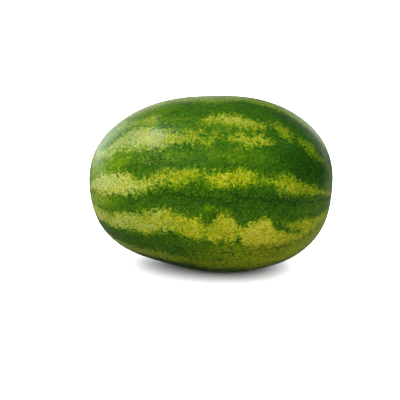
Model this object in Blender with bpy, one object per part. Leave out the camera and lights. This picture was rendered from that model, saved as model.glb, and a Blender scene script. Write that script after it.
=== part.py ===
"""Whole oval watermelon, one solid, resting on the small flat spot of its underside.

Frame: +X runs along the fruit from the stem end to the blossom end, +Z is up, and the
origin is the middle of the bounding box on the surface that the fruit rests on.
All lengths are in metres.
"""
import math

import bmesh
import bpy
import numpy as np

# Overall form: a body of revolution about X, whose two ends then droop a little
LENGTH = 0.296              # stem end to blossom end, measured along the straight axis
GIRTH_DIAMETER = 0.2154     # at the widest ring
WIDEST_X = 0.013            # the widest ring lies this far towards the blossom end
STEM_TAPER = (1.95, 2.65)       # powers of the half outline on the stem side
BLOSSOM_TAPER = (2.13, 2.45)    # powers of the half outline on the blossom side
STEM_DROOP = math.radians(8.7)      # the stem end's axis points down by this much
BLOSSOM_DROOP = math.radians(5.0)   # the blossom end's axis points down by this much
DROOP_PIVOT = 0.05          # distance of each droop's turning point from the middle
DROOP_REACH = 0.11          # the droop grows from the middle to its full angle here

# Stem end: a shallow dimple around the corky pad that the stalk left
DIMPLE_DEPTH = 0.0032
DIMPLE_RADIUS = 0.015
STALK_PAD_RADIUS = 0.0065
STALK_PAD_HEIGHT = 0.0022

# Blossom end: a small low scar in a faint hollow
HOLLOW_DEPTH = 0.0010
HOLLOW_RADIUS = 0.010
BLOSSOM_SCAR_RADIUS = 0.0042
BLOSSOM_SCAR_HEIGHT = 0.0009

# Underside: the flat spot is a plane this far above the lowest point of the round form
FLAT_SPOT_DEPTH = 0.0020

# Facets
RINGS = 40                  # steps along the outline, closer together at the ends
STEPS_AROUND = 60
END_CROWDING = 0.8          # 0 spaces the rings evenly, 1 crowds them fully at the ends
OUTLINE_SAMPLES = 4001      # fine samples that the even spacing is measured on
MERGE_DISTANCE = 1e-5


def smooth_step(value):
    """Cubic ease from 0 to 1 as the value goes from 0 to 1, level at both ends."""
    value = np.clip(value, 0.0, 1.0)
    return value * value * (3.0 - 2.0 * value)


def end_relief(radius, bowl_depth, bowl_radius, pad_radius, pad_height):
    """Depth below the plain outline at one end: a rounded bowl with a raised pad in it."""
    bowl = bowl_depth * np.exp(-(radius / bowl_radius) ** 2)
    pad = pad_height * smooth_step((1.35 * pad_radius - radius) / (0.6 * pad_radius))
    return bowl - pad


def outline():
    """Half outline (x, radius) from the stem pole to the blossom pole.

    On each side of the widest ring, radius = R * (1 - u**a) ** (1 / b), where u is the
    distance from the widest ring as a fraction of that side's length.
    """
    swing = np.sin(np.linspace(-math.pi / 2, math.pi / 2, OUTLINE_SAMPLES))
    half = LENGTH / 2
    x = WIDEST_X + np.where(swing < 0, swing * (half + WIDEST_X), swing * (half - WIDEST_X))
    first = np.where(swing < 0, STEM_TAPER[0], BLOSSOM_TAPER[0])
    second = np.where(swing < 0, STEM_TAPER[1], BLOSSOM_TAPER[1])
    radius = GIRTH_DIAMETER / 2 * (1 - np.abs(swing) ** first) ** (1 / second)
    stem_relief = end_relief(radius, DIMPLE_DEPTH, DIMPLE_RADIUS,
                             STALK_PAD_RADIUS, STALK_PAD_HEIGHT)
    blossom_relief = end_relief(radius, HOLLOW_DEPTH, HOLLOW_RADIUS,
                                BLOSSOM_SCAR_RADIUS, BLOSSOM_SCAR_HEIGHT)
    x = x + np.where(swing < 0, stem_relief, -blossom_relief)
    return x, radius


def ring_stations(x, radius):
    """Points of the outline at the ring stations, spaced by distance along the outline."""
    distance = np.concatenate([[0.0], np.cumsum(np.hypot(np.diff(x), np.diff(radius)))])
    even = np.linspace(0.0, 1.0, RINGS + 1)
    crowded = 0.5 - 0.5 * np.cos(math.pi * even)
    station = ((1 - END_CROWDING) * even + END_CROWDING * crowded) * distance[-1]
    return np.interp(station, distance, x), np.interp(station, distance, radius)


def spin_outline(mesh, x, radius):
    """Turn the half outline once around the X axis and close it at both poles."""
    points = [mesh.verts.new((px, 0.0, pr)) for px, pr in zip(x, radius)]
    edges = [mesh.edges.new(pair) for pair in zip(points, points[1:])]
    bmesh.ops.spin(mesh, geom=points + edges, cent=(0, 0, 0), axis=(1, 0, 0),
                   angle=2 * math.pi, steps=STEPS_AROUND, use_merge=True)
    bmesh.ops.remove_doubles(mesh, verts=mesh.verts, dist=MERGE_DISTANCE)


def droop_end(mesh, side, droop):
    """Turn one end downwards about a level axis; side is -1 for stem, 1 for blossom."""
    pivot = side * DROOP_PIVOT
    for vertex in mesh.verts:
        angle = droop * float(smooth_step(side * vertex.co.x / DROOP_REACH))
        along, up = vertex.co.x - pivot, vertex.co.z
        vertex.co.x = pivot + math.cos(angle) * along + side * math.sin(angle) * up
        vertex.co.z = math.cos(angle) * up - side * math.sin(angle) * along


def press_flat_spot(mesh):
    """Cut the underside by a level plane and close it with one flat face."""
    level = min(vertex.co.z for vertex in mesh.verts) + FLAT_SPOT_DEPTH
    everything = list(mesh.verts) + list(mesh.edges) + list(mesh.faces)
    bmesh.ops.bisect_plane(mesh, geom=everything, dist=MERGE_DISTANCE,
                           plane_co=(0, 0, level), plane_no=(0, 0, -1), clear_outer=True)
    rim = [edge for edge in mesh.edges if edge.is_boundary]
    bmesh.ops.contextual_create(mesh, geom=rim)


def stand_on_origin(mesh):
    """Move the fruit so that the origin is the middle of its bounding box's floor."""
    points = np.array([vertex.co[:] for vertex in mesh.verts])
    low, high = points.min(axis=0), points.max(axis=0)
    middle = (low + high) / 2
    bmesh.ops.translate(mesh, verts=mesh.verts, vec=(-middle[0], -middle[1], -low[2]))


def rind_material():
    """Waxy green rind."""
    material = bpy.data.materials.new("rind")
    material.use_nodes = True
    shader = material.node_tree.nodes["Principled BSDF"]
    shader.inputs["Base Color"].default_value = (0.090, 0.190, 0.025, 1.0)
    shader.inputs["Roughness"].default_value = 0.38
    shader.inputs["Metallic"].default_value = 0.0
    return material


def watermelon():
    """The whole fruit as one closed body."""
    mesh = bmesh.new()
    spin_outline(mesh, *ring_stations(*outline()))
    droop_end(mesh, 1, BLOSSOM_DROOP)
    droop_end(mesh, -1, STEM_DROOP)
    press_flat_spot(mesh)
    stand_on_origin(mesh)
    bmesh.ops.recalc_face_normals(mesh, faces=mesh.faces)
    data = bpy.data.meshes.new("watermelon")
    mesh.to_mesh(data)
    mesh.free()
    data.shade_smooth()
    data.set_sharp_from_angle(angle=math.radians(40))
    data.materials.append(rind_material())
    fruit = bpy.data.objects.new("watermelon", data)
    bpy.context.scene.collection.objects.link(fruit)
    return fruit


for leftover in list(bpy.data.objects):
    bpy.data.objects.remove(leftover, do_unlink=True)
watermelon()
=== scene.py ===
import math

import bpy
import numpy as np
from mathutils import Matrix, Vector


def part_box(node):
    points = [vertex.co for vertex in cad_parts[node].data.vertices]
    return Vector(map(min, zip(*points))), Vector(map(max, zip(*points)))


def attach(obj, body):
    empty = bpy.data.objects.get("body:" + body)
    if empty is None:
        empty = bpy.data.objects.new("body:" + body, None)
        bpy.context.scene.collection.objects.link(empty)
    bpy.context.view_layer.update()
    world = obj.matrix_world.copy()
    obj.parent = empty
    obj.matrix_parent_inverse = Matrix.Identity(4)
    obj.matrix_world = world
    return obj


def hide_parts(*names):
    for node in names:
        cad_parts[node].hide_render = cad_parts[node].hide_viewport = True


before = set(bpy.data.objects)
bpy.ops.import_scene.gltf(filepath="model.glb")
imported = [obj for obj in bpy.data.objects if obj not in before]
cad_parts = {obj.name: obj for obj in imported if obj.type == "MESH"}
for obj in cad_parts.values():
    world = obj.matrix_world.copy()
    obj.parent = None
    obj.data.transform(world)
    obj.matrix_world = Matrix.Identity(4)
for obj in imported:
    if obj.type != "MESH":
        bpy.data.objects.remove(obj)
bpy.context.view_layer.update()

# Whole oval watermelon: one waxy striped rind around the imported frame.
# +X runs from the stem end to the blossom end, +Z is up, all lengths are in metres.
# A place on the rind is a station, 0 at the stem pole to 1 at the blossom pole by distance
# along the rind, and an angle around the fruit: 0 faces -Y, 90 is the top, 180 faces +Y.

# Form of the fruit
FRUIT_LENGTH = 0.296
GIRTH_RADIUS = 0.1077
WIDEST_X = 0.013
STEM_TAPER = (1.95, 2.65)
BLOSSOM_TAPER = (2.13, 2.45)
STEM_DROOP = math.radians(8.7)
BLOSSOM_DROOP = math.radians(5.0)
DROOP_PIVOT = 0.05
DROOP_REACH = 0.11
FLAT_SPOT_DEPTH = 0.0020
FLAT_SPOT_BLEND = 0.0009    # the rind rounds into the flat spot over about this height
SWELL_HEIGHT = 0.00035      # broad lumps
RIPPLE_HEIGHT = 0.00018     # narrower ridges that run along the fruit

# Relief at the ends: bowl depth, bowl radius, pad radius, pad height
STALK_PAD_RADIUS = 0.0065
BLOSSOM_SCAR_RADIUS = 0.0042
STEM_RELIEF = (0.0032, 0.015, STALK_PAD_RADIUS, 0.0022)
BLOSSOM_RELIEF = (0.0010, 0.010, BLOSSOM_SCAR_RADIUS, 0.0009)

# Grid of the rind
STEPS_ALONG = 240
STEPS_AROUND = 408
END_CROWDING = 0.5
OUTLINE_SAMPLES = 6001


def ease(value):
    """Cubic ease from 0 to 1, level at both ends."""
    value = np.clip(value, 0.0, 1.0)
    return value * value * (3.0 - 2.0 * value)


def ripple(position, seed, waves, first=1, falloff=0.0):
    """Smooth wandering value of about -1 to 1: a sum of sine waves with drawn phases.

    Wave number k has a height of 1 / k**falloff, and first is the lowest wave number.
    """
    draw = np.random.default_rng(seed)
    total = np.zeros_like(position, dtype=float)
    weight = 0.0
    for number in range(first, first + waves):
        height = 1.0 / number ** falloff
        total += height * np.sin(2 * np.pi * number * position + draw.uniform(0, 2 * np.pi))
        weight += height * height
    return total / math.sqrt(2.0 * weight)


def outline(station):
    """Half outline (x, radius) at each station, and the outline's whole length.

    On each side of the widest ring, radius = R * (1 - u**a) ** (1 / b), where u is the
    distance from that ring as a share of the side's length.
    """
    swing = np.sin(np.linspace(-np.pi / 2, np.pi / 2, OUTLINE_SAMPLES))
    half = FRUIT_LENGTH / 2
    stem_side = swing < 0
    x = WIDEST_X + np.where(stem_side, swing * (half + WIDEST_X), swing * (half - WIDEST_X))
    first = np.where(stem_side, STEM_TAPER[0], BLOSSOM_TAPER[0])
    second = np.where(stem_side, STEM_TAPER[1], BLOSSOM_TAPER[1])
    radius = GIRTH_RADIUS * (1 - np.abs(swing) ** first) ** (1 / second)
    distance = np.concatenate([[0.0], np.cumsum(np.hypot(np.diff(x), np.diff(radius)))])
    where = station * distance[-1]
    return np.interp(where, distance, x), np.interp(where, distance, radius), distance[-1]


def droop(x, z, side, full_angle):
    """Turn one end downwards about a level axis, by an angle that grows from the middle."""
    pivot = side * DROOP_PIVOT
    angle = full_angle * ease(side * x / DROOP_REACH)
    along = x - pivot
    turned_x = pivot + np.cos(angle) * along + side * np.sin(angle) * z
    turned_z = np.cos(angle) * z - side * np.sin(angle) * along
    return turned_x, turned_z


def end_relief(radius, angle, seed, bowl, bowl_radius, pad_radius, pad_height):
    """Depth at one end: a rounded bowl with creases that run into it and a raised pad."""
    rim = pad_radius * (1 + 0.10 * ripple(angle / (2 * np.pi), seed, 7, 2, 0.5))
    pad = pad_height * ease((1.35 * rim - radius) / (0.6 * rim))
    crease = ripple(angle / (2 * np.pi), seed + 1, 9, 6)
    fold = 0.12 * bowl * crease * np.exp(-((radius - bowl_radius) / (0.6 * bowl_radius)) ** 2)
    return bowl * np.exp(-(radius / bowl_radius) ** 2) + fold - pad


def rind_points(station, angle):
    """Points of the rind: the outline turned about X, with its relief, droop and flat spot."""
    x, radius, _ = outline(station)
    fade = np.sin(np.pi * station)
    turn = angle / (2 * np.pi)
    swell = (ripple(turn, 11, 3) * np.cos(2.1 * np.pi * station + 0.6)
             + ripple(turn, 12, 3, 1) * np.cos(3.7 * np.pi * station + 2.0))
    swelling = SWELL_HEIGHT * swell + RIPPLE_HEIGHT * ripple(turn, 13, 3, 9)
    radius_out = radius + fade * swelling
    stem = end_relief(radius, angle, 21, *STEM_RELIEF)
    blossom = end_relief(radius, angle, 31, *BLOSSOM_RELIEF)
    x = x + np.where(station < 0.5, stem, -blossom)
    y = -radius_out * np.cos(angle)
    z = radius_out * np.sin(angle)
    x, z = droop(x, z, 1, BLOSSOM_DROOP)
    x, z = droop(x, z, -1, STEM_DROOP)
    level = z.min() + FLAT_SPOT_DEPTH
    lift = z - level
    rounded = 0.5 * (lift + np.sqrt(lift * lift + FLAT_SPOT_BLEND * FLAT_SPOT_BLEND))
    z = level + rounded - 0.5 * FLAT_SPOT_BLEND
    z = np.maximum(z, level)
    return np.stack([x, y, z], axis=-1)


def fit_to_frame(points):
    """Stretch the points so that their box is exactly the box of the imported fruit."""
    low, high = (np.array(corner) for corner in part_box("watermelon"))
    flat = points.reshape(-1, 3)
    own_low, own_high = flat.min(axis=0), flat.max(axis=0)
    return low + (points - own_low) * (high - low) / (own_high - own_low)


# ---- pattern ---------------------------------------------------------------------------

# Pale stripes on the side that shows best: station, upper edge, lower edge, strength.
BROAD_STRIPE = (
    (0.08, 26, 18, 0.6), (0.13, 30, 18, 0.9), (0.17, 31, 14, 1), (0.22, 29, 10.5, 1),
    (0.27, 26.5, 10.5, 1), (0.295, 24, 10, 0.95), (0.31, 19, 9.5, 0.85), (0.35, 20.5, 11, 0.85),
    (0.40, 22.5, 14.5, 0.82), (0.45, 24, 14.5, 0.76), (0.475, 25, 17.5, 0.70),
    (0.495, 24.5, 20, 0.55), (0.51, 22.5, 15.5, 0.7), (0.535, 23, 12.5, 0.85),
    (0.575, 25.5, 15.5, 0.9), (0.62, 24.5, 15.5, 0.85), (0.645, 21.5, 17.5, 0.65),
    (0.685, 22, 18, 0.6), (0.705, 24.5, 13.5, 0.7), (0.74, 25.5, 12, 0.7),
    (0.78, 22, 14, 0.65), (0.81, 21, 13, 0.7), (0.845, 20, 13.5, 0.6),
    (0.88, 20, 12, 0.6), (0.93, 20, 12, 0.55), (1.0, 20, 12, 0.4))
SHOULDER_STRIPE = (
    (0.05, 62, 48, 0.4), (0.12, 62, 48, 0.5), (0.16, 60, 46, 0.5), (0.20, 56, 44, 0.6),
    (0.235, 55, 43, 0.85), (0.26, 60, 44, 0.75), (0.29, 62, 42.5, 0.9), (0.33, 60, 40, 1),
    (0.36, 57, 38.5, 1), (0.39, 51, 37.5, 0.95), (0.42, 50, 40.5, 0.9), (0.45, 49, 40.5, 0.9),
    (0.48, 48, 41.5, 0.9), (0.505, 48, 40, 0.9), (0.53, 47.5, 43, 0.75), (0.555, 47, 44, 0.45),
    (0.58, 49, 43.5, 1.0), (0.61, 49, 41, 1.1), (0.64, 49, 41.5, 1.0), (0.66, 49, 43.5, 0.85),
    (0.68, 48, 46, 0.3), (0.70, 48, 47, 0.0))
UPPER_STRIPE = (
    (0.24, 78, 66, 0.3), (0.27, 77, 66, 0.65), (0.30, 71, 63, 0.7), (0.325, 68, 60, 0.6),
    (0.345, 70, 57, 0.9), (0.365, 68, 57, 0.7), (0.385, 65, 58, 0.4), (0.44, 63, 58, 0.3),
    (0.48, 61, 57, 0.6), (0.505, 62.5, 57, 1.05), (0.54, 64, 56, 1.25), (0.57, 64.5, 56, 1.3),
    (0.595, 63, 54.5, 1.25), (0.63, 60.5, 55, 1.0), (0.65, 59.5, 54.5, 0.8), (0.66, 63, 57, 0.5),
    (0.69, 66, 54, 0.65), (0.71, 64, 51.5, 0.65), (0.73, 60, 53, 0.3), (0.755, 60, 53, 0.5),
    (0.785, 60, 50, 0.6), (0.83, 57, 50, 0.35), (0.86, 58, 53, 0.2), (1.0, 58, 52, 0.15))
CROWN_STRIPE = (
    (0.0, 101, 84, 0.4), (0.15, 104, 83, 0.6), (0.25, 100, 80, 0.7), (0.28, 106, 83, 0.8),
    (0.35, 102, 80, 0.85), (0.40, 104, 84, 0.8), (0.46, 106, 80, 0.7), (0.53, 103, 77, 0.6),
    (0.58, 100, 83, 0.7), (0.63, 104, 80, 0.7), (0.70, 101, 82, 0.7), (0.76, 104, 79, 0.7),
    (0.84, 102, 80, 0.7), (1.0, 100, 84, 0.4))
BELLY_STRIPE = (
    (0.06, -6, -22, 0.6), (0.13, -4, -24, 0.85), (0.20, -8, -22, 0.8), (0.26, -5, -20, 0.85),
    (0.32, -5, -22, 0.85), (0.37, -2, -19, 0.9), (0.40, -1.5, -18, 0.9), (0.43, -5, -19, 0.9),
    (0.465, -5.5, -21.5, 1.0), (0.485, -5.5, -21.5, 1.05), (0.495, -7, -20, 0.95),
    (0.503, -11, -18.5, 0.75), (0.512, -11, -20, 0.95), (0.53, -7.5, -24, 0.95),
    (0.545, -1.5, -22, 1), (0.56, -2.5, -21.5, 1), (0.58, -5, -23, 1), (0.597, -9.5, -18, 0.9),
    (0.61, -11, -24, 1.15), (0.63, -10, -27, 1.3), (0.65, -8, -27.5, 1.3),
    (0.672, -4.5, -28, 1.25), (0.688, -6.5, -28, 1.25), (0.70, -12, -28.5, 1.2),
    (0.715, -16, -29, 1.15), (0.76, -20, -29.5, 1.05), (0.80, -23, -30.5, 0.95),
    (0.84, -26, -32, 0.6), (0.88, -28, -33, 0.3))
BELLY_END_STRIPE = (
    (0.70, -9, -11, 0.0), (0.73, -9, -12, 0.35), (0.755, -10, -17, 0.8), (0.78, -8.5, -18, 0.95),
    (0.80, -9, -27, 0.9), (0.83, -11, -34, 0.85), (0.87, -12, -38, 0.8), (0.93, -14, -40, 0.6),
    (1.0, -14, -34, 0.4))
# The weaker stretch of the low stripe from station 0.45 to 0.50 is painted shadow
LOW_STRIPE = (
    (0.05, -44, -54, 0.5), (0.20, -42, -55, 0.7), (0.34, -40, -52, 0.7), (0.45, -41, -50, 0.6),
    (0.50, -41, -53, 0.6), (0.56, -41, -53, 0.7), (0.64, -40, -52, 0.8),
    (0.70, -41, -53, 0.8), (0.78, -42, -55, 0.8), (0.88, -42, -54, 0.7), (1.0, -44, -52, 0.4))
SHOWN_STRIPES = (BROAD_STRIPE, SHOULDER_STRIPE, UPPER_STRIPE, CROWN_STRIPE, BELLY_STRIPE,
                 BELLY_END_STRIPE, LOW_STRIPE)
# Middle angles of the stripes that grow around the rest of the fruit
FAR_STRIPES = (140, 176, 211, 246, 284)
EDGE_SOFTNESS = 11.0    # degrees over which a stripe's edge fades
END_SLOPE = 300.0       # degrees of depth for each unit of station from a stripe's end
POLE_DEPTH = 20.0       # degrees added where a stripe runs right up to the blossom pole


def angle_from(angle, middle):
    """Signed angle in degrees from a middle angle, by the short way round."""
    return (angle - middle + 180.0) % 360.0 - 180.0


def stripe_depth(station, degrees, places):
    """Degrees inside one stripe (below 0 outside), and the stripe's strength there.

    The edges run by straight steps between the places; the depth is measured around the
    fruit to the nearer edge.
    """
    along, upper, lower, strength = np.array(places, dtype=float).T
    middle = float(np.mean((upper + lower) / 2))
    offset = angle_from(degrees, middle)
    top = np.interp(station, along, upper) - middle
    bottom = np.interp(station, along, lower) - middle
    depth = np.minimum(top - offset, offset - bottom)
    depth = np.minimum(depth, (station - along[0]) * END_SLOPE)
    past_end = POLE_DEPTH * (along[-1] > 0.999)
    depth = np.minimum(depth, (along[-1] - station) * END_SLOPE + past_end)
    return depth, np.interp(station, along, strength)


def grown_stripe(middle):
    """Places of a stripe of the same kind, with drawn humps, waists and gaps."""
    along = np.linspace(0.0, 1.0, 41)
    sway = 3.0 * ripple(along, middle, 4, 1)
    half = 7.0 + 3.5 * ripple(along, middle + 1, 9, 3)
    skew = 2.5 * ripple(along, middle + 2, 9, 4)
    strength = np.clip(0.95 + 0.35 * ripple(along, middle + 3, 8, 2), 0.25, 1.0)
    strength *= 0.5 + 0.5 * ease(np.minimum(along, 1 - along) / 0.12)
    half = np.clip(half, 2.5, 14.0)
    return np.stack([along, middle + sway + skew + half, middle + sway + skew - half,
                     strength], axis=1)


def pale_stripes(station, degrees):
    """Cover of the nearest pale stripe, 0.5 at its edge and 1 inside, and its strength."""
    places = list(SHOWN_STRIPES) + [grown_stripe(middle) for middle in FAR_STRIPES]
    stripes = [stripe_depth(station, degrees, rows) for rows in places]
    depths = np.array([depth for depth, _ in stripes])
    strengths = np.array([strength for _, strength in stripes])
    nearest = depths.argmax(axis=0)[None]
    depth = np.take_along_axis(depths, nearest, axis=0)[0]
    cover = np.clip(0.5 + depth / EDGE_SOFTNESS, 0.0, 1.0)
    return cover, np.take_along_axis(strengths, nearest, axis=0)[0]


# Lighter green ground between stripes: station, angle, half length, half width, strength
# The patches high up at 66 to 76 degrees, and the one at -57 degrees near the blossom end, are
# lighter ground and painted sheen together
LIGHT_AND_SHEEN_PATCHES = (
    (0.13, 68, 0.06, 18, 0.55), (0.13, 38, 0.06, 8, 0.45), (0.24, 70, 0.07, 9, 0.40),
    (0.22, 37, 0.10, 7, 0.42), (0.14, 6, 0.09, 9, 0.50), (0.58, 35, 0.09, 5, 0.24),
    (0.38, 33, 0.08, 4, 0.30), (0.40, 66, 0.07, 7, 0.20), (0.50, 53, 0.11, 4.5, 0.34),
    (0.33, 75, 0.10, 8, 0.42), (0.53, 72, 0.18, 6, 0.20), (0.515, 1, 0.018, 2, 0.45),
    (0.68, -33, 0.20, 8, 0.66), (0.83, -38, 0.12, 14, 0.72), (0.76, -57, 0.16, 8, 0.50),
    (0.93, 30, 0.05, 30, 0.30), (0.96, 0, 0.06, 12, 0.30), (0.84, 2, 0.08, 7, 0.10),
    (0.30, 160, 0.2, 8, 0.35), (0.65, 194, 0.2, 6, 0.4), (0.4, 229, 0.2, 7, 0.4),
    (0.7, 124, 0.2, 6, 0.35), (0.5, 264, 0.3, 8, 0.4))
# Deepest green ground, in the same terms
DEEP_AND_SHADE_PATCHES = (
    (0.79, 38, 0.10, 14, 0.25), (0.62, 75, 0.16, 6, 0.06), (0.66, 5, 0.13, 6, 0.12),
    # Painted shade: a long deep patch low along the near side, where the underside is in shade
    (0.50, -69, 0.40, 9, 0.3),
    (0.35, 120, 0.15, 10, 0.2), (0.6, 160, 0.15, 8, 0.2), (0.3, 196, 0.15, 8, 0.2),
    (0.75, 230, 0.12, 8, 0.2))


def patch_cover(station, degrees, patches):
    """Soft oval patches: strength * exp(-r**4 / 2), where r is 1 at the edge of each oval."""
    cover = np.zeros_like(station)
    for along, middle, length, width, strength in patches:
        square = ((station - along) / length) ** 2 + (angle_from(degrees, middle) / width) ** 2
        cover = np.maximum(cover, strength * np.exp(-0.5 * square ** 2))
    return cover


def ground_lightness(station, degrees):
    """0 on plain dark green ground, up to 0.6 on light green, below 0 on deep green; some light
    patches are painted sheen and one deep patch is painted shade.
    """
    light = patch_cover(station, degrees, LIGHT_AND_SHEEN_PATCHES)
    return light - patch_cover(station, degrees, DEEP_AND_SHADE_PATCHES)


# Fine dark veins along the dark ground: middle angle, first and last station
VEINS = ((-32, 0.35, 0.90), (7.5, 0.30, 0.97), (30.5, 0.28, 0.45), (74, 0.62, 0.88),
         (122, 0.10, 0.90), (158, 0.10, 0.90), (194, 0.10, 0.90), (262, 0.10, 0.90))


def vein_lines(station, degrees):
    """Distance in millimetres to the nearest vein, and that vein's strength there.

    The distance changes sign at each vein, so it is exactly zero along the veins and nowhere
    else. The number of veins is even, so that the signs meet around the fruit.
    """
    offsets, strengths = [], []
    for number, (middle, start, end) in enumerate(VEINS):
        path = middle + 0.7 * ripple(station, 70 + number, 14, 3, 0.5)
        offsets.append(angle_from(degrees, path) * np.pi / 180.0 * GIRTH_RADIUS * 1000.0)
        strengths.append(ease((station - start) / 0.06) * ease((end - station) / 0.06))
    offsets, strengths = np.array(offsets), np.array(strengths)
    nearest = np.abs(offsets).argmin(axis=0)[None]
    offset = np.take_along_axis(offsets, nearest, axis=0)[0]
    side = np.where(nearest[0] % 2 == 0, 1.0, -1.0)
    return side * offset, np.take_along_axis(strengths, nearest, axis=0)[0]


# Pale spot around the place that the fruit lies on: half length, half width, how far it lies
# towards the blossom end, and the height that it stays below
REST_SPOT = (0.062, 0.043)
REST_SPOT_X = 0.012
REST_SPOT_TOP = 0.06


def rest_spot_cover(points):
    """1 in the middle of the resting spot, 0.5 on its oval edge, 0 at twice that size."""
    low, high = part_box("watermelon")
    middle_x = (low[0] + high[0]) / 2 + REST_SPOT_X
    reach = np.hypot((points[..., 0] - middle_x) / REST_SPOT[0], points[..., 1] / REST_SPOT[1])
    return np.clip(1.0 - 0.5 * reach, 0.0, 1.0) * (points[..., 2] < REST_SPOT_TOP)


def rind_grid():
    """Stations and angles of the grid, the rings a little closer at both poles."""
    even = np.linspace(0.0, 1.0, STEPS_ALONG + 1)
    crowded = 0.5 - 0.5 * np.cos(np.pi * even)
    stations = (1 - END_CROWDING) * even + END_CROWDING * crowded
    angles = np.linspace(0.0, 2 * np.pi, STEPS_AROUND, endpoint=False)
    return np.meshgrid(stations, angles, indexing="ij")


def closed_faces(rings, around):
    """Quads between neighbouring rings and fans of triangles at the two pole points."""
    ring, step = np.meshgrid(np.arange(rings - 1), np.arange(around), indexing="ij")
    after = (step + 1) % around
    quads = np.stack([1 + ring * around + step, 1 + ring * around + after,
                      1 + (ring + 1) * around + after, 1 + (ring + 1) * around + step], -1)
    step = np.arange(around)
    after = (step + 1) % around
    start = np.zeros(around, dtype=int)
    last_ring = 1 + (rings - 1) * around
    first_fan = np.stack([start, 1 + after, 1 + step], -1)
    last_fan = np.stack([start + 1 + rings * around, last_ring + step, last_ring + after], -1)
    return quads.reshape(-1, 4).tolist() + first_fan.tolist() + last_fan.tolist()


def on_points(values):
    """Grid values in the mesh's point order: stem pole, inner rings, blossom pole."""
    inner = values[1:-1].reshape(-1, *values.shape[2:])
    return np.concatenate([values[0, :1], inner, values[-1, :1]])


def add_attribute(mesh, name, values):
    """Store one number or one vector for each point of the mesh."""
    kind = "FLOAT" if values.ndim == 1 else "FLOAT_VECTOR"
    layer = mesh.attributes.new(name, kind, "POINT")
    layer.data.foreach_set("value" if kind == "FLOAT" else "vector", values.ravel())


def make_rind():
    """The whole rind as one closed mesh, with its pattern stored on its points."""
    station, angle = rind_grid()
    points = fit_to_frame(rind_points(station, angle))
    degrees = np.degrees(angle)
    length = outline(station)[2]
    mesh = bpy.data.meshes.new("watermelon_rind")
    mesh.from_pydata(on_points(points).tolist(), [], closed_faces(STEPS_ALONG - 1, STEPS_AROUND))
    mesh.shade_smooth()
    cover, strength = pale_stripes(station, degrees)
    add_attribute(mesh, "stripe", on_points(cover))
    add_attribute(mesh, "stripe_strength", on_points(strength))
    # Ground lightness, with the painted sheen and painted shade of some patches
    add_attribute(mesh, "ground", on_points(ground_lightness(station, degrees)))
    vein, vein_strength = vein_lines(station, degrees)
    add_attribute(mesh, "vein", on_points(vein))
    add_attribute(mesh, "vein_strength", on_points(vein_strength))
    grain = np.stack([station * length, GIRTH_RADIUS * np.cos(angle),
                      GIRTH_RADIUS * np.sin(angle)], axis=-1)
    add_attribute(mesh, "grain", on_points(grain))
    add_attribute(mesh, "station", on_points(station))
    add_attribute(mesh, "rest_spot", on_points(rest_spot_cover(points)))
    add_attribute(mesh, "from_end", on_points(np.minimum(station, 1 - station) * length))
    rind = bpy.data.objects.new("watermelon_rind", mesh)
    bpy.context.scene.collection.objects.link(rind)
    return rind


# ---- materials -------------------------------------------------------------------------

def add_node(tree, kind, inputs=None, **settings):
    """Add one shader node, with its settings, and its inputs linked or set by name."""
    node = tree.nodes.new(kind)
    for name, value in settings.items():
        setattr(node, name, value)
    for name, value in (inputs or {}).items():
        if isinstance(value, bpy.types.NodeSocket):
            tree.links.new(value, node.inputs[name])
        else:
            node.inputs[name].default_value = value
    return node


def calc(tree, operation, *values):
    """Math node on one, two or three values."""
    inputs = dict(enumerate(values))
    return add_node(tree, "ShaderNodeMath", inputs, operation=operation).outputs[0]


def step_range(tree, value, low, high, start=0.0, end=1.0):
    """Smooth step from start to end while the value goes from low to high."""
    inputs = {"Value": value, "From Min": low, "From Max": high, "To Min": start, "To Max": end}
    node = add_node(tree, "ShaderNodeMapRange", inputs, interpolation_type="SMOOTHSTEP")
    return node.outputs["Result"]


def blend_colour(tree, share, first, second):
    """Colour between two colours by a share of 0 to 1."""
    node = add_node(tree, "ShaderNodeMix", {0: share, 6: first, 7: second}, data_type="RGBA")
    return node.outputs[2]


def vector_calc(tree, operation, first, second=None, scale=None):
    """Vector math node on two vectors, or on one vector and a scale."""
    inputs = {0: first}
    if second is not None:
        inputs[1] = second
    if scale is not None:
        inputs["Scale"] = scale
    return add_node(tree, "ShaderNodeVectorMath", inputs, operation=operation).outputs[0]


def total(tree, *values):
    """Sum of any number of values."""
    result = values[0]
    for value in values[1:]:
        result = calc(tree, "ADD", result, value)
    return result


def swing(tree, value, height):
    """A noise value moved to swing evenly about 0 by the height."""
    return calc(tree, "MULTIPLY_ADD", value, 2 * height, -height)


def blend_value(tree, share, first, second):
    """Value between two values by a share of 0 to 1."""
    return add_node(tree, "ShaderNodeMix", {0: share, 2: first, 3: second}).outputs[0]


def noise(tree, place, scale, detail=2.0, roughness=0.5, output="Fac"):
    """Noise of about 0.2 to 0.8 at a number of features per metre along each axis."""
    inputs = {"Vector": vector_calc(tree, "MULTIPLY", place, scale), "Scale": 1.0,
              "Detail": detail, "Roughness": roughness}
    return add_node(tree, "ShaderNodeTexNoise", inputs).outputs[output]


def attribute(tree, name, output="Fac"):
    """Value stored on the points of the mesh."""
    return add_node(tree, "ShaderNodeAttribute", attribute_name=name).outputs[output]


# Colours of the rind by paleness, from the darkest green to the palest yellow
RIND_COLOURS = ((0.00, (0.012, 0.060, 0.002, 1)), (0.20, (0.040, 0.125, 0.002, 1)),
                (0.38, (0.085, 0.190, 0.002, 1)), (0.52, (0.150, 0.270, 0.002, 1)),
                (0.66, (0.250, 0.340, 0.003, 1)), (0.82, (0.370, 0.410, 0.006, 1)),
                (1.00, (0.530, 0.535, 0.040, 1)))
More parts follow.
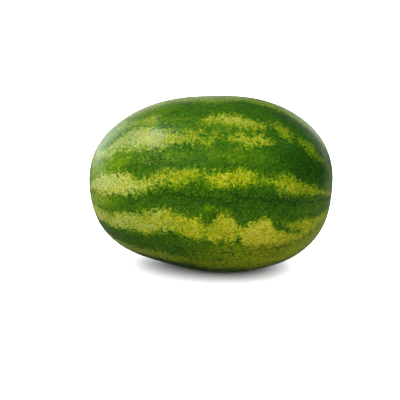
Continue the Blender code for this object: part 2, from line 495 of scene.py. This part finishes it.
# Cream of the pale stripes near the stem end: partly their own colour, partly painted sheen where
# the soft highlight lies
CREAM_AND_SHEEN = (0.470, 0.560, 0.180, 1)
VEIN_GREEN = (0.008, 0.040, 0.003, 1)
SPOT_YELLOW = (0.520, 0.430, 0.130, 1)
SPOT_CREAM = (0.600, 0.530, 0.230, 1)
DARK_CORK = (0.070, 0.042, 0.014, 1)
PALE_CORK = (0.330, 0.225, 0.080, 1)
# Painted reflection of the sky: the greener colour that the rind turns to high up
SKY_REFLECTION_GREEN = (0.022, 0.112, 0.009, 1)
# What the colour is multiplied by: painted warm bounce light low on the fruit, warm patches with
# painted bounce light, and a painted sky reflection high on the fruit
PAINTED_BOUNCE_TINT = (1.02, 1.0, 0.80)
WARM_PATCH_AND_BOUNCE_TINT = (1.05, 0.97, 0.75)
SKY_REFLECTION_TINT = (0.94, 1.0, 1.4)

# Features per metre of each drawn noise, along the fruit and then twice across it
WISP_BEND_SCALE = (75, 75, 75)
FEATHER_SCALE = (400, 130, 130)
STRAND_SCALE = (110, 400, 400)
BLOTCH_SCALE = (85, 85, 85)
FLECK_SCALE = (330, 330, 330)
GRIT_SCALE = (520, 520, 520)
SPECK_SCALE = (440, 440, 440)
WARM_SCALE = (30, 60, 60)
VEIN_WARP_SCALE = (260, 260, 260)
VEIN_BREAK_SCALE = (60, 200, 200)
NET_BEND_SCALE = (240, 240, 240)
NET_SCALE = (115, 100, 100)
# Lengths in metres that the wisps and the crackle net are bent by
WISP_BEND = 0.040
NET_BEND = 0.012


def bent(tree, place, bend_scale, bend):
    """A place moved by smooth noise, which wanders by about a third of the bend each way."""
    offset = noise(tree, place, bend_scale, 2.0, 0.5, output="Color")
    return vector_calc(tree, "ADD", place, vector_calc(tree, "SCALE", offset, scale=bend))


def net_lines(tree, place, scale):
    """Distance from the lines of an irregular net, in shares of a cell."""
    scaled = vector_calc(tree, "MULTIPLY", place, scale)
    cells = add_node(tree, "ShaderNodeTexVoronoi", {"Vector": scaled, "Scale": 1.0},
                     feature="DISTANCE_TO_EDGE")
    return cells.outputs["Distance"]


def colour_ramp(tree, value, stops):
    """Colour for a value by straight blends between stops."""
    node = add_node(tree, "ShaderNodeValToRGB", {"Fac": value})
    elements = node.color_ramp.elements
    while len(elements) < len(stops):
        elements.new(1.0)
    for element, (place, colour) in zip(elements, stops):
        element.position = place
        element.color = colour
    return node.outputs["Color"]


def tint(tree, cover, colour, factors):
    """A colour multiplied by three factors, as far as the cover says."""
    return blend_colour(tree, cover, colour, vector_calc(tree, "MULTIPLY", colour, factors))


def feathering(tree, grain, blotch, fleck):
    """Value swinging about 0: short strands along and around the fruit, blotches, flecks."""
    wisps = bent(tree, grain, WISP_BEND_SCALE, WISP_BEND)
    feather = noise(tree, wisps, FEATHER_SCALE, 2.5, 0.6)
    strand = noise(tree, wisps, STRAND_SCALE, 2.5, 0.6)
    return total(tree, swing(tree, feather, 0.48), swing(tree, strand, 0.48),
                 swing(tree, blotch, 0.20), swing(tree, fleck, 0.42))


def paleness(tree, wander):
    """Share of pale stripe, and the paleness of stripe and ground together."""
    share = step_range(tree, calc(tree, "ADD", attribute(tree, "stripe"), wander), 0.18, 0.86)
    within = calc(tree, "MULTIPLY_ADD", attribute(tree, "stripe_strength"), 0.62, 0.21)
    within = calc(tree, "MULTIPLY_ADD", wander, 0.95, within)
    ground = calc(tree, "MULTIPLY_ADD", attribute(tree, "ground"), 0.66, 0.206)
    ground = calc(tree, "MULTIPLY_ADD", wander, 0.50, ground)
    return share, blend_value(tree, share, ground, within)


def rind_colour(tree, level, place, grain, station, blotch):
    """Colour by paleness: cream with painted sheen near the stem end, painted bounce light low
    down, painted sky reflection high up.
    """
    height = add_node(tree, "ShaderNodeSeparateXYZ", {0: place}).outputs["Z"]
    colour = colour_ramp(tree, level, RIND_COLOURS)
    # Creamier pale stripes near the stem end: own colour and painted sheen together
    left = step_range(tree, total(tree, station, swing(tree, blotch, 0.3)), 0.20, 0.45, 1, 0)
    cream = calc(tree, "MULTIPLY", left, step_range(tree, level, 0.45, 0.95, 0.0, 0.9))
    colour = blend_colour(tree, cream, colour, CREAM_AND_SHEEN)
    # Painted warm bounce light: more golden low on the fruit, most on the paler parts
    painted_bounce = calc(tree, "MULTIPLY", step_range(tree, height, 0.13, 0.06, 0.0, 1.0),
                  step_range(tree, level, 0.3, 0.7, 0.4, 1.0))
    colour = tint(tree, painted_bounce, colour, PAINTED_BOUNCE_TINT)
    # Warm patches drawn at random and kept below the top: own tone and painted warm bounce light
    # together
    warm_patch_and_bounce = step_range(tree, noise(tree, grain, WARM_SCALE, 2.0, 0.5), 0.42, 0.62)
    warm_patch_and_bounce = calc(tree, "MULTIPLY", warm_patch_and_bounce, step_range(tree, level, 0.25, 0.7, 0.35, 1.0))
    warm_patch_and_bounce = calc(tree, "MULTIPLY", warm_patch_and_bounce, step_range(tree, height, 0.17, 0.12))
    colour = tint(tree, warm_patch_and_bounce, colour, WARM_PATCH_AND_BOUNCE_TINT)
    # Painted reflection of the sky: bluer, then greener, high on the fruit
    colour = tint(tree, step_range(tree, height, 0.13, 0.19), colour, SKY_REFLECTION_TINT)
    sky_reflection = calc(tree, "MULTIPLY", step_range(tree, height, 0.14, 0.20, 0.0, 0.6),
                step_range(tree, level, 0.2, 0.6, 1.0, 0.35))
    return blend_colour(tree, sky_reflection, colour, SKY_REFLECTION_GREEN)


def vein_cover(tree, place, grain, fleck):
    """Broken dark veins and the crackle net beside them: 1 on a line, 0 away from it."""
    warp = swing(tree, noise(tree, place, VEIN_WARP_SCALE, 2.0, 0.5), 2.0)
    away = calc(tree, "ABSOLUTE", calc(tree, "ADD", attribute(tree, "vein"), warp))
    broken = step_range(tree, noise(tree, grain, VEIN_BREAK_SCALE, 2.0, 0.5), 0.36, 0.50)
    vein = calc(tree, "MULTIPLY", step_range(tree, away, 0.2, 1.0, 0.95, 0.0), broken)
    net = net_lines(tree, bent(tree, grain, NET_BEND_SCALE, NET_BEND), NET_SCALE)
    crackle = calc(tree, "MULTIPLY", step_range(tree, away, 3.0, 17.0, 1.0, 0.0),
                   step_range(tree, net, 0.01, 0.09, 0.95, 0.0))
    line = calc(tree, "MAXIMUM", vein, crackle)
    line = calc(tree, "MULTIPLY", line, attribute(tree, "vein_strength"))
    return calc(tree, "MULTIPLY", line, step_range(tree, fleck, 0.35, 0.55, 0.4, 1.0))


def paint_rest_spot(tree, colour, share, blotch, fleck):
    """Yellow and cream around the place that the fruit lies on, with a ragged edge."""
    spot = total(tree, attribute(tree, "rest_spot"), swing(tree, blotch, 0.5),
                 swing(tree, fleck, 0.25))
    spot = step_range(tree, spot, 0.38, 0.66, 0.0, 0.92)
    return blend_colour(tree, spot, colour, blend_colour(tree, share, SPOT_YELLOW, SPOT_CREAM))


def paint_cork(tree, colour, station, fleck):
    """Colour with the corky pad and scar and a dark ring around each, and the cork's cover."""
    cork_edge = calc(tree, "MULTIPLY_ADD", step_range(tree, station, 0.4, 0.6),
                     BLOSSOM_SCAR_RADIUS - STALK_PAD_RADIUS, STALK_PAD_RADIUS)
    inwards = calc(tree, "SUBTRACT", cork_edge, attribute(tree, "from_end"))
    inwards = calc(tree, "ADD", inwards, swing(tree, fleck, 0.0012))
    cork = step_range(tree, inwards, -0.0006, 0.0006)
    cork_colour = blend_colour(tree, step_range(tree, fleck, 0.35, 0.65), DARK_CORK, PALE_CORK)
    ring = calc(tree, "MULTIPLY", step_range(tree, inwards, -0.0030, -0.0004),
                calc(tree, "SUBTRACT", 1.0, cork))
    colour = blend_colour(tree, calc(tree, "MULTIPLY", ring, 0.7), colour, DARK_CORK)
    return blend_colour(tree, cork, colour, cork_colour), cork


def fine_shade(tree, place):
    """Brightness of about 0.4 to 1.3 from fine grit and small darker specks."""
    grit = noise(tree, place, GRIT_SCALE, 1.0, 0.5)
    speck = noise(tree, place, SPECK_SCALE, 1.0, 0.5)
    speck = step_range(tree, speck, 0.56, 0.67, 1.0, 0.56)
    return calc(tree, "MULTIPLY", calc(tree, "MULTIPLY_ADD", grit, 0.9, 0.60), speck)


def waxy_rind():
    """Waxy striped rind, with veins, the pale resting spot and cork at both ends."""
    material = bpy.data.materials.new("waxy_striped_rind")
    material.use_nodes = True
    tree = material.node_tree
    shader = tree.nodes["Principled BSDF"]
    place = add_node(tree, "ShaderNodeTexCoord").outputs["Object"]
    grain = attribute(tree, "grain", "Vector")
    station = attribute(tree, "station")
    blotch = noise(tree, place, BLOTCH_SCALE, 3.0, 0.55)
    fleck = noise(tree, place, FLECK_SCALE, 4.0, 0.75)
    share, level = paleness(tree, feathering(tree, grain, blotch, fleck))
    colour = rind_colour(tree, level, place, grain, station, blotch)
    line = vein_cover(tree, place, grain, fleck)
    colour = blend_colour(tree, line, colour, VEIN_GREEN)
    colour = paint_rest_spot(tree, colour, share, blotch, fleck)
    colour, cork = paint_cork(tree, colour, station, fleck)
    colour = vector_calc(tree, "SCALE", colour, scale=fine_shade(tree, place))
    tree.links.new(colour, shader.inputs["Base Color"])
    relief = calc(tree, "MULTIPLY_ADD", line, -0.5, calc(tree, "MULTIPLY", fleck, 0.5))
    bump = add_node(tree, "ShaderNodeBump", {"Height": relief, "Distance": 0.0006,
                                             "Strength": 0.6})
    tree.links.new(bump.outputs["Normal"], shader.inputs["Normal"])
    rough = calc(tree, "MULTIPLY_ADD", fleck, 0.18, 0.22)
    tree.links.new(calc(tree, "MULTIPLY_ADD", cork, 0.35, rough), shader.inputs["Roughness"])
    shader.inputs["Specular IOR Level"].default_value = 0.12
    return material


# ---- stage, light and camera -----------------------------------------------------------

CAMERA_AZIMUTH = math.radians(5.5)
CAMERA_ELEVATION = math.radians(16.0)
CAMERA_DISTANCE = 1.362
CAMERA_LENS = 100.0
SENSOR_WIDTH = 36.0
# The fruit stands a little right of and above the middle of the picture, as shares of it
RIGHT_OF_MIDDLE = 0.0267
ABOVE_MIDDLE = 0.0420

FLOOR_HALF_SIDE = 4.0
# Colours of the floor to the camera, in the light that it throws back, and in gloss
FLOOR_SEEN = (0.90, 0.90, 0.92, 1)
FLOOR_THROWN = (0.12, 0.12, 0.12, 1)
FLOOR_MIRRORED = (0.08, 0.08, 0.08, 1)
# Glows behind the fruit: azimuth, elevation, cosine at which each begins, brightness
GLOWS = ((-127, 2, 0.83, 4.6), (-166, 12, 0.94, 1.0), (158, 2, 0.92, 1.7))
GLOW_TINT = (0.93, 1.0, 0.95, 1)
GLOW_DIM = 0.03         # brightness between the glows
SKY_LIGHT = 0.35        # brightness of the sky as a light
SKY_SEEN = 1.05         # brightness of the backdrop to the camera

# Lamps: azimuth, elevation, distance, diameter, watts
KEY_LAMP = (-42, 40, 2.2, 1.6, 38.5)
FILL_LAMP = (52, 6, 2.2, 1.6, 14)
SHEEN_LAMP = (-88, 55, 1.8, 0.6, 18)
FLOOR_LAMP = (0, 90, 2.2, 12.0, 1500)


def fruit_middle():
    """Middle of the fruit's straight axis, which the camera and the lamps are placed by."""
    low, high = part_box("watermelon")
    return Vector(((low[0] + high[0]) / 2, (low[1] + high[1]) / 2,
                   low[2] + GIRTH_RADIUS - FLAT_SPOT_DEPTH))


def direction(azimuth, elevation):
    """Unit vector towards a camera or lamp: azimuth 0 is -Y and 90 is +X."""
    level = math.cos(elevation)
    return Vector((math.sin(azimuth) * level, -math.cos(azimuth) * level, math.sin(elevation)))


def make_camera():
    """Long-lens camera a little above level, which sets the fruit right of and above middle."""
    back = direction(CAMERA_AZIMUTH, CAMERA_ELEVATION)
    right = Vector((math.cos(CAMERA_AZIMUTH), math.sin(CAMERA_AZIMUTH), 0.0))
    up = back.cross(right)
    width = CAMERA_DISTANCE * SENSOR_WIDTH / CAMERA_LENS
    middle = fruit_middle()
    aim = middle - right * (RIGHT_OF_MIDDLE * width) - up * (ABOVE_MIDDLE * width)
    data = bpy.data.cameras.new("camera")
    data.lens = CAMERA_LENS
    data.sensor_width = SENSOR_WIDTH
    camera = bpy.data.objects.new("camera", data)
    camera.location = middle + back * CAMERA_DISTANCE
    camera.rotation_euler = (aim - camera.location).to_track_quat("-Z", "Y").to_euler()
    bpy.context.scene.collection.objects.link(camera)
    bpy.context.scene.camera = camera


def soft_box(name, setting, lit_object):
    """Round soft lamp aimed at the fruit, which lights only the one object given."""
    azimuth, elevation, distance, diameter, watts = setting
    data = bpy.data.lights.new(name, "AREA")
    data.shape = "DISK"
    data.size = diameter
    data.energy = watts
    lamp = bpy.data.objects.new(name, data)
    towards = direction(math.radians(azimuth), math.radians(elevation))
    lamp.location = fruit_middle() + towards * distance
    lamp.rotation_euler = (-towards).to_track_quat("-Z", "Y").to_euler()
    bpy.context.scene.collection.objects.link(lamp)
    lit = bpy.data.collections.new(name + "_lights")
    lit.objects.link(lit_object)
    lamp.light_linking.receiver_collection = lit
    return lamp


def make_lamps(rind, floor):
    """Key and low fill without gloss, a small lamp for the sheen only, and a floor lamp."""
    soft_box("key_lamp", KEY_LAMP, rind).visible_glossy = False
    soft_box("fill_lamp", FILL_LAMP, rind).visible_glossy = False
    soft_box("sheen_lamp", SHEEN_LAMP, rind).visible_diffuse = False
    soft_box("floor_lamp", FLOOR_LAMP, floor)


def by_ray(tree, kinds):
    """Shader that differs for each kind of ray: pairs of light path output and shader.

    The last pair whose kind holds wins; the first pair needs no kind.
    """
    path = add_node(tree, "ShaderNodeLightPath")
    result = kinds[0][1]
    for kind, shader in kinds[1:]:
        inputs = {0: path.outputs[kind], 1: result, 2: shader}
        result = add_node(tree, "ShaderNodeMixShader", inputs).outputs[0]
    return result


def floor_material():
    """Matte pale floor, bright to look at and dimmer in the light that it throws back."""
    material = bpy.data.materials.new("pale_floor")
    material.use_nodes = True
    tree = material.node_tree
    tree.nodes.clear()
    seen, thrown, mirrored = (add_node(tree, "ShaderNodeBsdfDiffuse", {"Color": colour}).outputs[0]
                              for colour in (FLOOR_SEEN, FLOOR_THROWN, FLOOR_MIRRORED))
    surface = by_ray(tree, ((None, thrown), ("Is Glossy Ray", mirrored), ("Is Camera Ray", seen)))
    add_node(tree, "ShaderNodeOutputMaterial", {"Surface": surface})
    return material


def make_floor():
    """Level square floor under the fruit."""
    side = FLOOR_HALF_SIDE
    mesh = bpy.data.meshes.new("pale_floor")
    corners = [(-side, -side, 0), (side, -side, 0), (side, side, 0), (-side, side, 0)]
    mesh.from_pydata(corners, [], [(0, 1, 2, 3)])
    mesh.materials.append(floor_material())
    floor = bpy.data.objects.new("pale_floor", mesh)
    bpy.context.scene.collection.objects.link(floor)
    return floor


def make_sky():
    """White backdrop to the camera, low glows behind in gloss, an even dim sky as light."""
    world = bpy.data.worlds.new("studio")
    world.use_nodes = True
    tree = world.node_tree
    tree.nodes.clear()
    way = add_node(tree, "ShaderNodeTexCoord").outputs["Generated"]
    glow = GLOW_DIM
    for azimuth, elevation, start, bright in GLOWS:
        towards = direction(math.radians(azimuth), math.radians(elevation))
        facing = add_node(tree, "ShaderNodeVectorMath", {0: way, 1: towards},
                          operation="DOT_PRODUCT").outputs["Value"]
        glow = calc(tree, "ADD", glow, step_range(tree, facing, start, 1.0, 0.0, bright))
    even, shine, white = (
        add_node(tree, "ShaderNodeBackground", {"Color": colour, "Strength": strength}).outputs[0]
        for colour, strength in (((1, 1, 1, 1), SKY_LIGHT), (GLOW_TINT, glow),
                                 ((1, 1, 1, 1), SKY_SEEN)))
    surface = by_ray(tree, ((None, even), ("Is Glossy Ray", shine), ("Is Camera Ray", white)))
    add_node(tree, "ShaderNodeOutputWorld", {"Surface": surface})
    bpy.context.scene.world = world
    bpy.context.scene.view_settings.view_transform = "Standard"


rind = make_rind()
rind.data.materials.append(waxy_rind())
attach(rind, "root")
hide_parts("watermelon")
make_camera()
make_lamps(rind, make_floor())
make_sky()
